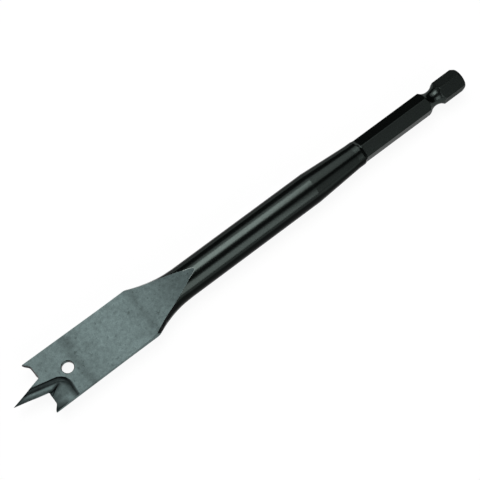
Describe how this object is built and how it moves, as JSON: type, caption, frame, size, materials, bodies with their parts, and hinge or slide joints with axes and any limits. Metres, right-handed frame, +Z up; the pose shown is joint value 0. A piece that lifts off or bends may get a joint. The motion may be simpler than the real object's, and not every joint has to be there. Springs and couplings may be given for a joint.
{
  "type": "spade drill bit",
  "caption": "Spade bit for boring wood: flat blade with a long centre point, outer spurs and ground chip hollows, forged into a round shaft that ends in a grooved hex shank.",
  "frame": {"origin": "middle of the bit's length and width, on the surface that the round shaft lies on", "axes": "+X along the bit from the point to the shank, +Y across the blade, +Z up, square to the blade's faces"},
  "size_m": [0.155, 0.0158, 0.0095],
  "materials": {
    "dark_steel": "dark grey satin steel with a greenish cast, blackened on the shaft and shank"
  },
  "bodies": {
    "root": {"spade_bit": "dark_steel"}
  },
  "joints": []
}
